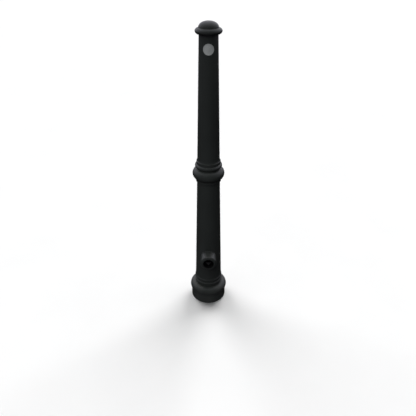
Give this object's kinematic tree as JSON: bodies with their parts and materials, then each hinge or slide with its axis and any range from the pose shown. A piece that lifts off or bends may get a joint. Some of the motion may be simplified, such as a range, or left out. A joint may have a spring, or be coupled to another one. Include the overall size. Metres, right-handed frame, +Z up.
{
  "type": "removable street bollard",
  "caption": "Black moulded street bollard with a ring-and-dome cap, lifting off a bolted ground post and locked by a triangular-key bolt in a round shroud near its foot.",
  "frame": {"origin": "on the column's axis at ground level, the centre of the base plate's anchor bolt circle", "axes": "+Z up along the column; the lock shroud and the badge face -Y"},
  "size_m": [0.149, 0.1633, 1.1],
  "materials": {
    "black_coating": "matt black powder coat on cast metal",
    "badge_metal": "light grey enamelled plate with a raised rim",
    "galvanised_steel": "hot-dip galvanised, dull",
    "zinc_steel": "zinc-plated fasteners",
    "lock_brass": "plain turned brass",
    "lock_steel": "turned stainless steel",
    "guide_nylon": "natural nylon",
    "black_plastic": "black moulded plastic",
    "seal_rubber": "black rubber"
  },
  "bodies": {
    "ground_anchor": {"base_plate": "galvanised_steel", "inner_post": "galvanised_steel", "post_gussets": "galvanised_steel", "strike_bush": "lock_brass", "index_pin": "zinc_steel", "inner_post_cap": "black_plastic"},
    "bollard": {"foot_casting": "black_coating", "foot_screws": "zinc_steel", "lower_column": "black_coating", "guide_ring": "guide_nylon", "guide_snap_ring": "zinc_steel", "mid_collar": "black_coating", "upper_column": "black_coating", "column_dowels": "zinc_steel", "cap": "black_coating", "cap_seal": "seal_rubber", "tie_rod": "zinc_steel", "clamp_plate": "galvanised_steel", "tie_washer": "zinc_steel", "tie_nuts": "zinc_steel", "marker_badge": "badge_metal", "lock_shroud": "black_coating", "lock_barrel": "lock_steel", "bolt_key": "zinc_steel", "lock_cover": "black_coating", "cover_screws": "zinc_steel", "cover_snap_ring": "zinc_steel", "spindle_seal": "seal_rubber"},
    "lock_spindle": {"lock_spindle": "lock_steel", "spindle_clip": "zinc_steel"},
    "lock_bolt": {"lock_bolt": "lock_steel"}
  },
  "joints": [
    {"name": "lift_off", "type": "slide", "parent": "ground_anchor", "child": "bollard", "axis": [0, 0, 1], "range_m": [0, 0.35]},
    {"name": "bolt_slide", "type": "slide", "parent": "bollard", "child": "lock_bolt", "axis": [0, 1, 0], "range_m": [0, 0.015]},
    {"name": "spindle_turn", "type": "hinge", "parent": "bollard", "child": "lock_spindle", "pos_m": [0, -0.07, 0.225], "axis": [0, 1, 0], "range_deg": [0, 900]}
  ],
  "couplings": [
    {"joint": "spindle_turn", "follows": "bolt_slide", "rad_per_m": 1047.2}
  ]
}
